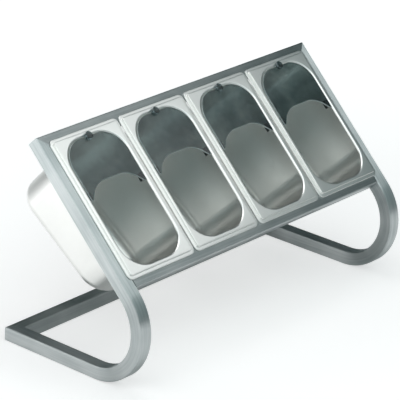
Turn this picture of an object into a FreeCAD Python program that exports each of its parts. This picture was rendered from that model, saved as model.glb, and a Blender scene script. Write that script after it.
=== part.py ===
import FreeCAD, Part

import math
import os

import Sketcher
from FreeCAD import Placement, Rotation, Vector

# Cutlery dispenser for a buffet: a stand of bent square tube that holds a row of deep-drawn pans in a
# tilted panel. Each pan has a clear hood that tips open on two studs. Millimetres and degrees.
# The stand's front looks along -Y, and the panel slopes up towards the back.

SIZES = (
    # name, value, what it is
    ("pan_count", 4, "pans side by side"),
    ("tube_size", 25, "side of the square tube"),
    ("tube_wall", 1.5, "wall of the tube"),
    ("tube_corner", 2.5, "outer corner radius of the tube"),
    ("tilt", 45, "slope of the panel above the floor"),
    ("bend_radius", 102.5, "outer radius of the front bend"),
    ("leg_length", 205, "straight run on the floor, behind the bend"),
    ("run_out", 7.4, "straight tube between the front rail and the bend"),
    ("rail_overlap", 11.7, "how far a pan's flange lies on the top and front rails"),
    ("side_overlap", 8.5, "how far the outer pans lie on the side tubes"),
    ("seat_gap", 0.3, "air between a pan's lip and the tubes"),
    ("pan_width", 162, "flange width"),
    ("pan_length", 265, "flange length"),
    ("pan_gap", 3, "gap between neighbouring flanges"),
    ("sheet", 0.8, "thickness of the pan's sheet"),
    ("flange_corner", 10, "corner radius of the flange"),
    ("rim_width", 6, "low rim around the raised plate"),
    ("rim_height", 2.5, "rim above the lip's lower edge"),
    ("plate_height", 5.5, "raised plate above the lip's lower edge"),
    ("opening_margin", 10.3, "flange edge to the edge of the opening"),
    ("opening_corner", 50, "corner radius of the opening"),
    ("roll_radius", 3.5, "rolled edge from the plate into the bowl"),
    ("draft", 1.5, "draft of the bowl's walls"),
    ("depth_upper", 161, "depth of the bowl at its upper end, below the plate"),
    ("depth_lower", 122, "depth of the bowl at its lower end, below the plate"),
    ("floor_radius", 22, "inner radius between the bowl's walls and floor"),
    ("hood_sheet", 3, "thickness of the hood"),
    ("hood_inset", 4.5, "edge of the opening to the hood's edge"),
    ("crown_drop", 83.6, "top of the opening to the crown of the hood's arch"),
    ("arch_radius", 46, "radius of the arch's shoulders"),
    ("arch_slope", 48, "slope of the arch's flanks"),
    ("ear_reach", 26, "crown of the arch to the ears' lower ends"),
    ("ear_width", 4.3, "lower end of each ear across"),
    ("ear_corner", 2, "corner radius of the ears"),
    ("knob_diameter", 14.2, "knob across"),
    ("knob_height", 5.3, "knob above the hood"),
    ("knob_drop", 5.1, "top of the opening to the knob's centre"),
    ("knob_round", 1.8, "round of the knob's top edge"),
    ("knob_gap", 0.3, "air between the knob's overhang and the plate"),
    ("block_width", 5.5, "hinge block along the hinge axis"),
    ("block_length", 14, "hinge block along the slope"),
    ("block_height", 7.8, "hinge block below the hood"),
    ("block_round", 0.8, "rounded edges of the hinge block"),
    ("pivot_drop", 100.8, "top of the opening to the hinge axis"),
    ("stud_diameter", 3, "pivot stud, welded to the bowl's wall"),
    ("stud_reach", 3.6, "stud inside the block"),
    ("stud_end_gap", 0.3, "air past the stud's end in the block"),
    ("stud_clearance", 0.05, "running clearance of the stud, on the radius"),
    ("overrun", 5, "how far a cutting shape runs past the metal"),
)

FORMULAS = (
    # name, formula, what it is
    ("rail_opening", "pan_length - 2*rail_overlap", "between the top and front rails"),
    ("limb_length", "2*tube_size + rail_opening + run_out", "straight outer run up the slope"),
    ("pan_pitch", "pan_width + pan_gap", "pan centre to pan centre"),
    ("pan_row", "(pan_count - 1)*pan_pitch + pan_width", "the pans side by side"),
    ("stand_width", "pan_row + 2*(tube_size - side_overlap)", "stand across"),
    ("front_rail_length", "stand_width - 2*tube_size", "front rail between the side tubes"),
    (
        "corner_back",
        "limb_length*cos(tilt) - bend_radius*sin(tilt) - leg_length",
        "top corner of the side tubes behind their rear ends",
    ),
    (
        "corner_height",
        "bend_radius*(1 + cos(tilt)) + limb_length*sin(tilt)",
        "top corner of the side tubes above the floor",
    ),
    ("cutter", "2*(tube_size + overrun)", "length of a cut through a tube"),
    ("round_to_flat", "2 - sqrt(2)", "size of the flat that touches a round, over the round's radius"),
    ("plate_width", "pan_width - 2*rim_width", "raised plate across"),
    ("plate_length", "pan_length - 2*rim_width", "raised plate along the slope"),
    ("opening_width", "pan_width - 2*opening_margin", "opening across"),
    ("opening_length", "pan_length - 2*opening_margin", "opening along the slope"),
    ("throat_width", "opening_width - 2*roll_radius", "bowl across, level with the plate"),
    ("throat_length", "opening_length - 2*roll_radius", "bowl along, level with the plate"),
    ("throat_corner", "opening_corner - roll_radius", "corner radius of the bowl's walls"),
    ("floor_slope", "atan((depth_upper - depth_lower)/throat_length)/1deg", "slope of the floor"),
    ("floor_level", "plate_height - (depth_upper + depth_lower)/2", "middle of the floor"),
    ("floor_reach", "throat_length/2 + overrun", "half length of the floor's cut"),
    ("floor_rise", "floor_reach*tan(floor_slope)", "rise of the cut over its half length"),
    ("block_level", "floor_level - floor_rise - 2*overrun", "lower end of the blank bowl"),
    ("hood_half", "opening_width/2 - hood_inset", "half the hood's width"),
    ("hood_end", "opening_length/2 - hood_inset", "hood's upper edge"),
    ("hood_top", "plate_height + knob_gap", "hood's top face"),
    ("hood_under", "hood_top - hood_sheet", "hood's underside"),
    ("crown_at", "opening_length/2 - crown_drop", "crown of the arch"),
    ("ear_at", "crown_at - ear_reach", "lower ends of the ears"),
    ("arch_corner", "hood_half - ear_width - ear_reach/tan(arch_slope)", "sharp arch shoulder"),
    ("arch_foot", "hood_half - ear_width + overrun/tan(arch_slope)", "end of its flank"),
    ("knob_at", "opening_length/2 - knob_drop", "knob's centre"),
    ("knob_top", "hood_top + knob_height", "knob's top face"),
    ("pivot_at", "opening_length/2 - pivot_drop", "hinge axis along the slope"),
    ("pivot_level", "hood_under - block_height/2", "hinge axis above the lip's lower edge"),
    ("block_under", "hood_under - block_height", "hinge block's underside"),
    ("block_side", "hood_half - block_width", "hinge block's inner side"),
    ("bore_radius", "stud_diameter/2 + stud_clearance", "running hole of the stud"),
    ("bore_depth", "stud_reach + stud_end_gap", "depth of the block's blind bore"),
    ("stud_below", "plate_height - pivot_level + stud_diameter/2", "plate to the stud's underside"),
    ("stud_seat", "throat_width/2 - stud_below*tan(draft)", "wall at the stud's underside"),
    ("pan_at", "rail_overlap - tube_size - pan_length/2", "pan's centre below the top corner"),
    ("floor_flat", "(floor_radius + sheet)*round_to_flat", "flat round the outside of the floor"),
    (
        "wall_start",
        "throat_length/2 + sheet - (plate_height - sheet/2)*tan(draft)",
        "outside of the bowl's upper wall, level with the lip's lower edge",
    ),
    (
        "edge_level",
        "(floor_level - sheet/cos(floor_slope) - wall_start*tan(floor_slope))"
        "/(1 + tan(draft)*tan(floor_slope))",
        "where that wall would meet the floor's outside, were there no flat",
    ),
    ("edge_at", "wall_start + edge_level*tan(draft)", "the same edge along the slope"),
    (
        "bowl_back",
        "corner_back + (edge_at + pan_at)*cos(tilt) - (edge_level + seat_gap)*sin(tilt)"
        " - floor_flat*min(sin(tilt - draft); cos(tilt - floor_slope))",
        "furthest reach of the bowls behind the side tubes' rear ends",
    ),
    (
        "rear_face",
        "(leg_length + bend_radius - max(0; bowl_back))/2",
        "rear ends of the side tubes, when the whole object's box is centred",
    ),
)

DOC = FreeCAD.newDocument("cutlery_dispenser")
SHEET = DOC.addObject("Spreadsheet::Sheet", "Sizes")
SUB_PARTS = []


# ---------------------------------------------------------------- sheet, sketches and features


def fill_sheet():
    """One row for each size: its name, its value or formula, and what it is."""
    worked_out = tuple((name, f"={formula}", meaning) for name, formula, meaning in FORMULAS)
    for row, (name, value, meaning) in enumerate(SIZES + worked_out, 1):
        SHEET.set(f"A{row}", name)
        SHEET.set(f"B{row}", str(value))
        SHEET.set(f"C{row}", meaning)
        SHEET.setAlias(f"B{row}", name)
    DOC.recompute()


def number(name):
    """The plain number in the sheet's cell of that name."""
    value = SHEET.get(name)
    return float(getattr(value, "Value", value))


def new_body(label, sub_part=True):
    body = DOC.addObject("PartDesign::Body", label)
    body.Label = label
    if sub_part:
        SUB_PARTS.append(body)
    return body


def new_sketch(body, name, role, x="0", y="0", z="0"):
    """A sketch on one of the body's own planes, moved by x, y and z."""
    sketch = body.newObject("Sketcher::SketchObject", f"{body.Name}_{name}")
    plane = next(item for item in body.Origin.OriginFeatures if item.Role == role)
    sketch.AttachmentSupport = [(plane, "")]
    sketch.MapMode = "FlatFace"
    for axis, expression in zip("xyz", (x, y, z)):
        sketch.setExpression(f"AttachmentOffset.Base.{axis}", expression)
    return sketch


def bind(sketch, kind, geometry, expression, name, start=1.0):
    """Adds a dimension whose value follows an expression."""
    index = sketch.addConstraint(Sketcher.Constraint(kind, *geometry, start))
    sketch.renameConstraint(index, name)
    sketch.setExpression(f"Constraints.{name}", expression)


def polygon(sketch, corners):
    """A closed outline of straight edges; each corner is an (x, y) pair of expressions."""
    total = len(corners)
    turns = [2 * math.pi * index / total for index in range(total)]
    points = [Vector(math.cos(turn), math.sin(turn), 0) for turn in turns]
    first = sketch.GeometryCount
    for index in range(total):
        sketch.addGeometry(Part.LineSegment(points[index], points[(index + 1) % total]))
    for index, (x, y) in enumerate(corners):
        edge = first + index
        following = first + (index + 1) % total
        sketch.addConstraint(Sketcher.Constraint("Coincident", edge, 2, following, 1))
        bind(sketch, "DistanceX", (-1, 1, edge, 1), x, f"x{edge}")
        bind(sketch, "DistanceY", (-1, 1, edge, 1), y, f"y{edge}")


def rectangle(sketch, left, right, low, high):
    polygon(sketch, ((left, low), (right, low), (right, high), (left, high)))


def centred_rectangle(sketch, width, length):
    rectangle(sketch, f"-({width})/2", f"({width})/2", f"-({length})/2", f"({length})/2")


def circle(sketch, x, y, radius):
    edge = sketch.addGeometry(Part.Circle(Vector(), Vector(0, 0, 1), 1))
    bind(sketch, "DistanceX", (-1, 1, edge, 3), x, f"x{edge}")
    bind(sketch, "DistanceY", (-1, 1, edge, 3), y, f"y{edge}")
    bind(sketch, "Radius", (edge,), radius, f"radius{edge}")


def extrude(body, kind, name, sketch, length, both_ways=False, reverse=False):
    """A Pad or a Pocket, which has to add or take away material."""
    before = body.Tip.Shape.Volume if body.Tip else 0
    feature = body.newObject(f"PartDesign::{kind}", f"{body.Name}_{name}")
    feature.Profile = sketch
    feature.SideType = "Symmetric" if both_ways else "One side"
    feature.Reversed = reverse
    feature.setExpression("Length", length)
    DOC.recompute()
    change = feature.Shape.Volume - before
    if change == 0 or (change > 0) != (kind == "Pad"):
        raise RuntimeError(f"{feature.Name} changed the volume by {change}")


def dress(body, kind, name, test, size_name, size):
    """Fillets or chamfers every edge of the body's last shape that passes the test."""
    base = body.Tip
    edges = [f"Edge{index}" for index, edge in enumerate(base.Shape.Edges, 1) if test(edge)]
    if not edges:
        raise RuntimeError(f"{body.Name}_{name} found no edge")
    feature = body.newObject(f"PartDesign::{kind}", f"{body.Name}_{name}")
    feature.Base = (base, edges)
    feature.setExpression(size_name, size)
    DOC.recompute()


def fillet(body, name, test, radius):
    dress(body, "Fillet", name, test, "Radius", radius)


def flat(body, name, test, radius):
    """A flat that touches the arc of a round of that radius, where a true round costs too many facets."""
    dress(body, "Chamfer", name, test, "Size", f"({radius})*Sizes.round_to_flat")


def near(a, b):
    return abs(a - b) < 1e-3


def middle(edge):
    return edge.valueAt((edge.FirstParameter + edge.LastParameter) / 2)


def upright(edge):
    """An edge that runs mostly along z, such as a corner between two drafted walls."""
    along = edge.tangentAt((edge.FirstParameter + edge.LastParameter) / 2)
    return abs(along.z) > math.cos(math.radians(20))


def level(edge, height):
    """An edge that lies whole in the plane z = height."""
    return near(edge.BoundBox.ZMin, height) and near(edge.BoundBox.ZMax, height)


# ---------------------------------------------------------------- stand


def tube_section(sketch, left, right, low, high):
    """Outer and inner squares of the tube's section."""
    wall = "Sizes.tube_wall"
    rectangle(sketch, left, right, low, high)
    rectangle(
        sketch, f"{left} + {wall}", f"{right} - {wall}", f"{low} + {wall}", f"{high} - {wall}"
    )


def side_path(body):
    """Outer line of a side tube: along the floor, round the bend and up the slope."""
    path = new_sketch(body, "path", "YZ_Plane")
    leg, radius, tilt = number("leg_length"), number("bend_radius"), number("tilt")
    slope = math.radians(tilt)
    centre = Vector(-leg, radius, 0)
    upper = centre + Vector(-math.sin(slope), math.cos(slope), 0) * radius
    corner = upper + Vector(math.cos(slope), math.sin(slope), 0) * number("limb_length")
    bend = Part.Circle(centre, Vector(0, 0, 1), radius)
    path.addGeometry(Part.LineSegment(Vector(), Vector(-leg, 0, 0)))
    path.addGeometry(Part.ArcOfCircle(bend, math.pi / 2 + slope, math.pi * 1.5))
    path.addGeometry(Part.LineSegment(upper, corner))
    path.addConstraint(Sketcher.Constraint("Coincident", 0, 1, -1, 1))
    path.addConstraint(Sketcher.Constraint("Horizontal", 0))
    path.addConstraint(Sketcher.Constraint("Tangent", 0, 2, 1, 2))
    path.addConstraint(Sketcher.Constraint("Tangent", 1, 1, 2, 1))
    bind(path, "DistanceX", (0, 2, 0, 1), "Sizes.leg_length", "leg", leg)
    bind(path, "Radius", (1,), "Sizes.bend_radius", "bend", radius)
    bind(path, "Distance", (2,), "Sizes.limb_length", "limb", number("limb_length"))
    bind(path, "Angle", (2,), "Sizes.tilt", "tilt", slope)
    return path


def side_tube(label, side):
    """One bent tube with its outer face at x = 0; side is 1 where the stand lies towards +x."""
    body = new_body(label)
    path = side_path(body)
    section = new_sketch(body, "section", "XZ_Plane")
    if side > 0:
        tube_section(section, "0", "Sizes.tube_size", "0", "Sizes.tube_size")
    else:
        tube_section(section, "-Sizes.tube_size", "0", "0", "Sizes.tube_size")
    pipe = body.newObject("PartDesign::AdditivePipe", f"{label}_bent_tube")
    pipe.Profile = section
    pipe.Spine = path
    DOC.recompute()

    size = number("tube_size")

    def long_outer_edge(edge):
        box = edge.BoundBox
        on_side = near(box.XMin, box.XMax) and (near(box.XMin, 0) or near(abs(box.XMin), size))
        return on_side and edge.Length > 1.5 * size

    flat(body, "corners", long_outer_edge, "Sizes.tube_corner")

    # A triangle past the line that runs at 45 degrees through the end's outer corner.
    past = (f"-{side}*Sizes.overrun", "Sizes.overrun")
    beside = (f"{side}*(Sizes.tube_size + Sizes.overrun)", "Sizes.overrun")
    inside = (beside[0], "-(Sizes.tube_size + Sizes.overrun)")
    rear = new_sketch(body, "rear_mitre", "XY_Plane")
    polygon(rear, (past, beside, inside))
    extrude(body, "Pocket", "rear_cut", rear, "Sizes.cutter", both_ways=True)
    top = new_sketch(
        body, "top_mitre", "XY_Plane", y="Sizes.corner_back", z="Sizes.corner_height"
    )
    top.AttachmentOffset = Placement(top.AttachmentOffset.Base, Rotation(Vector(1, 0, 0), 1))
    top.setExpression("AttachmentOffset.Rotation.Angle", "Sizes.tilt")
    polygon(top, (past, beside, inside))
    extrude(body, "Pocket", "top_cut", top, "Sizes.cutter", both_ways=True)
    return body


def rail(label, length, mitred):
    """A straight tube along x that fills y and z from minus the tube's size to 0."""
    body = new_body(label)
    section = new_sketch(body, "section", "YZ_Plane")
    tube_section(section, "-Sizes.tube_size", "0", "-Sizes.tube_size", "0")
    extrude(body, "Pad", "tube", section, length, both_ways=True)

    size = number("tube_size")

    def long_outer_edge(edge):
        box = edge.BoundBox
        on_skin = all(near(value, 0) or near(value, -size) for value in (box.YMin, box.ZMin))
        return box.XLength > 2 * size and on_skin

    flat(body, "corners", long_outer_edge, "Sizes.tube_corner")
    if mitred:
        ends = new_sketch(body, "mitres", "XY_Plane")
        beyond = "-(Sizes.tube_size + Sizes.overrun)"
        for side in (-1, 1):
            tip = f"{side}*({length}/2 + Sizes.overrun)"
            root = f"{side}*({length}/2 - Sizes.tube_size - Sizes.overrun)"
            polygon(ends, ((tip, "Sizes.overrun"), (root, beyond), (tip, beyond)))
        extrude(body, "Pocket", "mitre_cuts", ends, "Sizes.cutter", both_ways=True)
    return body


# ---------------------------------------------------------------- pan


def bowl_form(label, grow):
    """The bowl as a solid: its hollow, or its outside where grow is the sheet's thickness.

    Drafted walls from the plate down, large corners, and a floor that is deeper at its upper end.
    """
    body = new_body(label, sub_part=False)
    mouth_level = f"Sizes.plate_height - {grow}/2"
    mouth = new_sketch(body, "mouth", "XY_Plane", z=mouth_level)
    centred_rectangle(mouth, f"Sizes.throat_width + 2*{grow}", f"Sizes.throat_length + 2*{grow}")
    extrude(body, "Pad", "walls", mouth, f"{mouth_level} - Sizes.block_level", reverse=True)
    walls = body.Tip
    faces = list(enumerate(walls.Shape.Faces, 1))
    top = max(faces, key=lambda item: item[1].CenterOfMass.z)
    sides = [f"Face{index}" for index, face in faces if near(face.normalAt(0, 0).z, 0)]
    drafted = body.newObject("PartDesign::Draft", f"{label}_draft")
    drafted.Base = (walls, sides)
    drafted.NeutralPlane = (walls, [f"Face{top[0]}"])
    drafted.Reversed = True
    drafted.setExpression("Angle", "Sizes.draft")
    DOC.recompute()
    if drafted.Shape.Volume > walls.Shape.Volume:
        raise RuntimeError(f"{label} widens towards its floor")
    fillet(body, "wall_corners", upright, f"Sizes.throat_corner + {grow}")

    floor = new_sketch(body, "floor", "YZ_Plane")
    upper = f"Sizes.floor_level - {grow}/cos(Sizes.floor_slope)"
    below = "Sizes.block_level - Sizes.overrun"
    corners = (
        ("-Sizes.floor_reach", f"{upper} + Sizes.floor_rise"),
        ("-Sizes.floor_reach", below),
        ("Sizes.floor_reach", below),
        ("Sizes.floor_reach", f"{upper} - Sizes.floor_rise"),
    )
    polygon(floor, corners)
    extrude(body, "Pocket", "floor_cut", floor, "2*Sizes.pan_width", both_ways=True)
    highest = number("floor_level") + number("floor_rise")

    def floor_edge(edge):
        return edge.BoundBox.ZMax < highest and not upright(edge)

    flat(body, "floor_corners", floor_edge, f"Sizes.floor_radius + {grow}")
    return body


def flange(body):
    """Lip, low rim and raised plate, pressed from one sheet and open underneath."""
    rim = new_sketch(body, "rim", "XY_Plane")
    centred_rectangle(rim, "Sizes.pan_width", "Sizes.pan_length")
    extrude(body, "Pad", "rim_block", rim, "Sizes.rim_height")
    fillet(body, "rim_corners", upright, "Sizes.flange_corner")

    plate = new_sketch(body, "plate", "XY_Plane")
    centred_rectangle(plate, "Sizes.plate_width", "Sizes.plate_length")
    extrude(body, "Pad", "plate_block", plate, "Sizes.plate_height")
    rim_top = number("rim_height")

    def plate_corner(edge):
        return upright(edge) and near(edge.BoundBox.ZMin, rim_top)

    fillet(body, "plate_corners", plate_corner, "Sizes.flange_corner - Sizes.rim_width")
    block = body.Tip
    under = [f"Face{i}" for i, face in enumerate(block.Shape.Faces, 1) if near(face.BoundBox.ZMax, 0)]
    skin = body.newObject("PartDesign::Thickness", f"{body.Name}_skin")
    skin.Base = (block, under)
    skin.setExpression("Value", "Sizes.sheet")
    skin.Reversed = True
    skin.Join = "Intersection"
    DOC.recompute()


def join(body, name, kind, tool):
    feature = body.newObject("PartDesign::Boolean", f"{body.Name}_{name}")
    feature.Type = kind
    feature.Group = [tool]
    DOC.recompute()


def pan(label):
    """A deep-drawn pan; its frame lies at the flange's centre, level with the lip's lower edge."""
    outside = bowl_form(f"{label}_outside", "Sizes.sheet")
    hollow = bowl_form(f"{label}_hollow", "0")
    body = new_body(label)
    flange(body)
    join(body, "bowl", "Fuse", outside)
    join(body, "mouth", "Cut", hollow)

    half_width, half_length = number("opening_width") / 2, number("opening_length") / 2

    def around_mouth(edge, height):
        box = edge.BoundBox
        inside = box.XMax < half_width and box.YMax < half_length
        return level(edge, height) and inside and box.XMin > -half_width

    plate_top, sheet = number("plate_height"), number("sheet")
    under_plate = plate_top - sheet
    inner_radius = "Sizes.roll_radius - Sizes.sheet"
    flat(body, "roll_under", lambda edge: around_mouth(edge, under_plate), inner_radius)
    flat(body, "roll", lambda edge: around_mouth(edge, plate_top), "Sizes.roll_radius")
    return body


# ---------------------------------------------------------------- hood and its hinge


def hood(label):
    """A flat clear sheet just inside the opening's upper part, arched below, with two ears."""
    body = new_body(label)
    blank = new_sketch(body, "blank", "XY_Plane", z="Sizes.hood_under")
    rectangle(blank, "-Sizes.hood_half", "Sizes.hood_half", "Sizes.ear_at", "Sizes.hood_end")
    extrude(body, "Pad", "sheet", blank, "Sizes.hood_sheet")
    crown, ear_end = number("crown_at"), number("ear_at")

    def upper_corner(edge):
        return upright(edge) and middle(edge).y > crown

    fillet(body, "upper_corners", upper_corner, "Sizes.opening_corner - Sizes.hood_inset")

    arch = new_sketch(body, "arch", "XY_Plane", z="Sizes.hood_under")
    below = "Sizes.ear_at - Sizes.overrun"
    arch_corners = (
        ("-Sizes.arch_corner", "Sizes.crown_at"),
        ("-Sizes.arch_foot", below),
        ("Sizes.arch_foot", below),
        ("Sizes.arch_corner", "Sizes.crown_at"),
    )
    polygon(arch, arch_corners)
    extrude(body, "Pocket", "arch_cut", arch, "Sizes.hood_sheet", reverse=True)

    def shoulder_edge(edge):
        return upright(edge) and near(middle(edge).y, crown)

    def ear_edge(edge):
        return upright(edge) and near(middle(edge).y, ear_end)

    fillet(body, "arch_shoulders", shoulder_edge, "Sizes.arch_radius")
    fillet(body, "ear_corners", ear_edge, "Sizes.ear_corner")
    return body


def hood_knob(label):
    """A round knob on the hood's upper edge; its overhang rests on the pan's plate."""
    body = new_body(label)
    disc = new_sketch(body, "disc", "XY_Plane", z="Sizes.hood_top")
    circle(disc, "0", "Sizes.knob_at", "Sizes.knob_diameter/2")
    extrude(body, "Pad", "turned", disc, "Sizes.knob_height")
    top = number("knob_top")
    flat(body, "top_edge", lambda edge: level(edge, top), "Sizes.knob_round")
    return body


def hinge_block(label, side):
    """A clear block under one ear, flush with the hood's side edge, bored for its stud."""
    body = new_body(label)
    outline = new_sketch(body, "outline", "XY_Plane", z="Sizes.block_under")
    inner, outer = f"{side}*Sizes.block_side", f"{side}*Sizes.hood_half"
    left, right = (inner, outer) if side > 0 else (outer, inner)
    low = "Sizes.pivot_at - Sizes.block_length/2"
    rectangle(outline, left, right, low, "Sizes.pivot_at + Sizes.block_length/2")
    extrude(body, "Pad", "block", outline, "Sizes.block_height")
    inner_x, under = side * number("block_side"), number("block_under")

    def free_edge(edge):
        point = middle(edge)
        return (upright(edge) or near(point.z, under)) and near(point.x, inner_x)

    flat(body, "rounded", free_edge, "Sizes.block_round")
    bore = new_sketch(body, "bore", "YZ_Plane", z=outer)
    circle(bore, "Sizes.pivot_at", "Sizes.pivot_level", "Sizes.bore_radius")
    extrude(body, "Pocket", "bore_cut", bore, "Sizes.bore_depth", reverse=side < 0)
    return body


def pivot_stud(label, side):
    """A plain stud along x, from the bowl's wall into the bore of the hinge block."""
    body = new_body(label)
    wall, tip = f"{side}*Sizes.stud_seat", f"{side}*(Sizes.hood_half - Sizes.stud_reach)"
    end = new_sketch(body, "end", "YZ_Plane", z=wall)
    circle(end, "Sizes.pivot_at", "Sizes.pivot_level", "Sizes.stud_diameter/2")
    extrude(body, "Pad", "shank", end, f"abs({wall} - {tip})", reverse=side > 0)
    return body


# ---------------------------------------------------------------- places


def place(body, x, y, z):
    for axis, expression in zip("xyz", (x, y, z)):
        body.setExpression(f"Placement.Base.{axis}", expression)


def place_on_panel(body, x, up, out):
    """Puts a body on the tilted panel: up the slope and out of it from the top corner."""
    body.Placement = Placement(Vector(), Rotation(Vector(1, 0, 0), 1))
    body.setExpression("Placement.Rotation.Angle", "Sizes.tilt")
    y = f"({up})*cos(Sizes.tilt) - ({out})*sin(Sizes.tilt)"
    z = f"({up})*sin(Sizes.tilt) + ({out})*cos(Sizes.tilt)"
    corner = "Sizes.rear_face + Sizes.corner_back"
    place(body, x, f"{corner} + {y}", f"Sizes.corner_height + {z}")


def build_stand():
    """The welded frame: two bent side tubes and three straight rails."""
    place(side_tube("left_side_tube", 1), "-Sizes.stand_width/2", "Sizes.rear_face", "0")
    place(side_tube("right_side_tube", -1), "Sizes.stand_width/2", "Sizes.rear_face", "0")
    rear = rail("rear_base_rail", "Sizes.stand_width", mitred=True)
    place(rear, "0", "Sizes.rear_face", "Sizes.tube_size")
    place_on_panel(rail("top_rail", "Sizes.stand_width", mitred=True), "0", "0", "0")
    front = rail("front_rail", "Sizes.front_rail_length", mitred=False)
    place_on_panel(front, "0", "-(Sizes.tube_size + Sizes.rail_opening)", "0")


def build_station(index):
    """One pan with everything that lifts out with it."""
    bodies = [pan(f"pan_{index}"), hood(f"hood_{index}"), hood_knob(f"hood_knob_{index}")]
    for name, side in (("left", -1), ("right", 1)):
        bodies.append(hinge_block(f"hinge_block_{name}_{index}", side))
        bodies.append(pivot_stud(f"pivot_stud_{name}_{index}", side))
    x = f"({index} - (Sizes.pan_count + 1)/2)*Sizes.pan_pitch"
    for body in bodies:
        place_on_panel(body, x, "Sizes.pan_at", "Sizes.seat_gap")


def check_and_write():
    for item in DOC.Objects:
        if "Invalid" in item.State or "Error" in item.State:
            raise RuntimeError(f"{item.Name} is {item.State}")
    for body in SUB_PARTS:
        shape = body.Shape
        if shape.isNull() or not shape.isValid() or len(shape.Solids) != 1:
            raise RuntimeError(f"{body.Label} is not one valid solid")
    os.makedirs("parts", exist_ok=True)
    for body in SUB_PARTS:
        body.Shape.exportStep(os.path.join("parts", f"{body.Label}.step"))
        print(f"{body.Label}: {body.Shape.Volume / 1000:.1f} cm3")


fill_sheet()
build_stand()
for count in range(round(number("pan_count"))):
    build_station(count + 1)
DOC.recompute()
check_and_write()
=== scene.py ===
# %% [markdown]
# # A cutlery dispenser in brushed steel and smoked acrylic
#
# A buffet stand of bent square tube carries a row of deep-drawn pans in a tilted panel. Each pan has a
# clear hood that turns on two small studs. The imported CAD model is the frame: it holds every piece at its
# true size and place. Blender gives each piece its dressed surface, its finish and its light.

# %% Load the frame
import math

import bmesh
import bpy
from bmesh.types import BMEdge, BMFace, BMVert
from mathutils import Matrix, Vector


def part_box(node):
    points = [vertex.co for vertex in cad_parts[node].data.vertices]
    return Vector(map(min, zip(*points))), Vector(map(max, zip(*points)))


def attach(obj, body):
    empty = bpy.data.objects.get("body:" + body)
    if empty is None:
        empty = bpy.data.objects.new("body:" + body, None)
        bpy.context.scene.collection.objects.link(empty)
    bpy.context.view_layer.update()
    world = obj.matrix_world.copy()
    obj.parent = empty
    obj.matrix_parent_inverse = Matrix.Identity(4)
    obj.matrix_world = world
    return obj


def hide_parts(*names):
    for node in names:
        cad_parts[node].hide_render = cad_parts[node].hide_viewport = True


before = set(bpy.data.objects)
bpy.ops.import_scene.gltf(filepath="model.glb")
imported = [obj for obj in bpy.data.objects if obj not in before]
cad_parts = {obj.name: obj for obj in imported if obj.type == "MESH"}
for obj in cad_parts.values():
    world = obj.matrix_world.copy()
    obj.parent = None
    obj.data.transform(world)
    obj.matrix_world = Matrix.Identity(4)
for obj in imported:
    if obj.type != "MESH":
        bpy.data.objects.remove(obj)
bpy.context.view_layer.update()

# %% [markdown]
# ## Driving sizes
# Metres and radians, with the same values that a maker would mark on the drawing. Where the stand begins
# and ends, and where the pans stand along it, is read from the frame, so the dressed pieces follow it.

# %% Sizes of the stand
MM = 0.001
SQUARE = math.radians(90)
TUBE = 25 * MM
TUBE_CORNER = 2.5 * MM
TILT = math.radians(45)
BEND = 102.5 * MM
LIMB = 299 * MM
RAIL_OPENING = 241.6 * MM

stand_low, stand_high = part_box("left_side_tube")
LEFT = stand_low.x
FRONT, REAR = stand_low.y, stand_high.y
LEG = REAR - FRONT - BEND
bend_centre = Vector((0, FRONT + BEND, BEND))
slope_up = Vector((0, math.cos(TILT), math.sin(TILT)))
slope_out = Vector((0, -math.sin(TILT), math.cos(TILT)))
top_corner = bend_centre + slope_out * BEND + slope_up * LIMB
panel = Matrix.Translation(top_corner) @ Matrix.Rotation(TILT, 4, "X")
print("leg", round(LEG, 4), "top corner", [round(value, 4) for value in top_corner])

# %% Sizes of a pan
PAN_WIDTH, PAN_LENGTH = 162 * MM, 265 * MM
PAN_DOWN = 145.8 * MM
SEAT_GAP = 0.3 * MM
SHEET = 0.8 * MM
FLANGE_CORNER = 10 * MM
RIM = 6 * MM
RIM_HEIGHT, PLATE_HEIGHT = 2.5 * MM, 5.5 * MM
PRESS_ROUND = 1.1 * MM
MARGIN = 10.3 * MM
ROLL = 3.5 * MM
THROAT_WIDTH = PAN_WIDTH - 2 * (MARGIN + ROLL)
THROAT_LENGTH = PAN_LENGTH - 2 * (MARGIN + ROLL)
THROAT_CORNER = 46.5 * MM
DRAFT = math.radians(1.5)
DEPTH_UPPER, DEPTH_LOWER = 161 * MM, 122 * MM
FLOOR_ROUND = 22 * MM
SPARE_DEPTH = 20 * MM

pan_numbers = sorted(name[4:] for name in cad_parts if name.startswith("pan_"))


def pan_frame(number):
    """Matrix of a pan's own frame: x across, y up the slope, z out of the panel."""
    low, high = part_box(f"pan_{number}")
    seat = Vector(((low.x + high.x) / 2, -PAN_DOWN, SEAT_GAP))
    return panel @ Matrix.Translation(seat)


print("pans:", pan_numbers)

# %% [markdown]
# ## Small helpers
# Every piece starts in its own flat frame, where it is easiest to measure, and is then moved to its place
# in the stand. Its object stays at the origin, so the patterns of its material don't slide. Each piece
# rides on a body of the frame and stands in for one solid of it.

# %% Turn a bmesh into a placed piece


def place(bm, name, body, node, matrix=None):
    """Makes an object from a bmesh, puts it in its place and hangs it on its CAD body."""
    if matrix:
        bmesh.ops.transform(bm, matrix=matrix, verts=bm.verts)
    for face in bm.faces:
        face.smooth = True
    mesh = bpy.data.meshes.new(name)
    bm.to_mesh(mesh)
    bm.free()
    piece = bpy.data.objects.new(name, mesh)
    bpy.context.scene.collection.objects.link(piece)
    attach(piece, body)
    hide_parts(node)
    return piece


def count_faces(pieces):
    return [len(piece.data.polygons) for piece in pieces]


# %% [markdown]
# The pieces are made as in a workshop, by cutting, pulling and rounding. Each of these is one function, with
# the same settings wherever it is used.

# %% Pick, cut, pull and round
SAME_HEIGHT = 1e-6
CUT_PRECISION = 1e-7


def pick(items, kind):
    """The verts, edges or faces of a mixed list."""
    return [item for item in items if isinstance(item, kind)]


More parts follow.
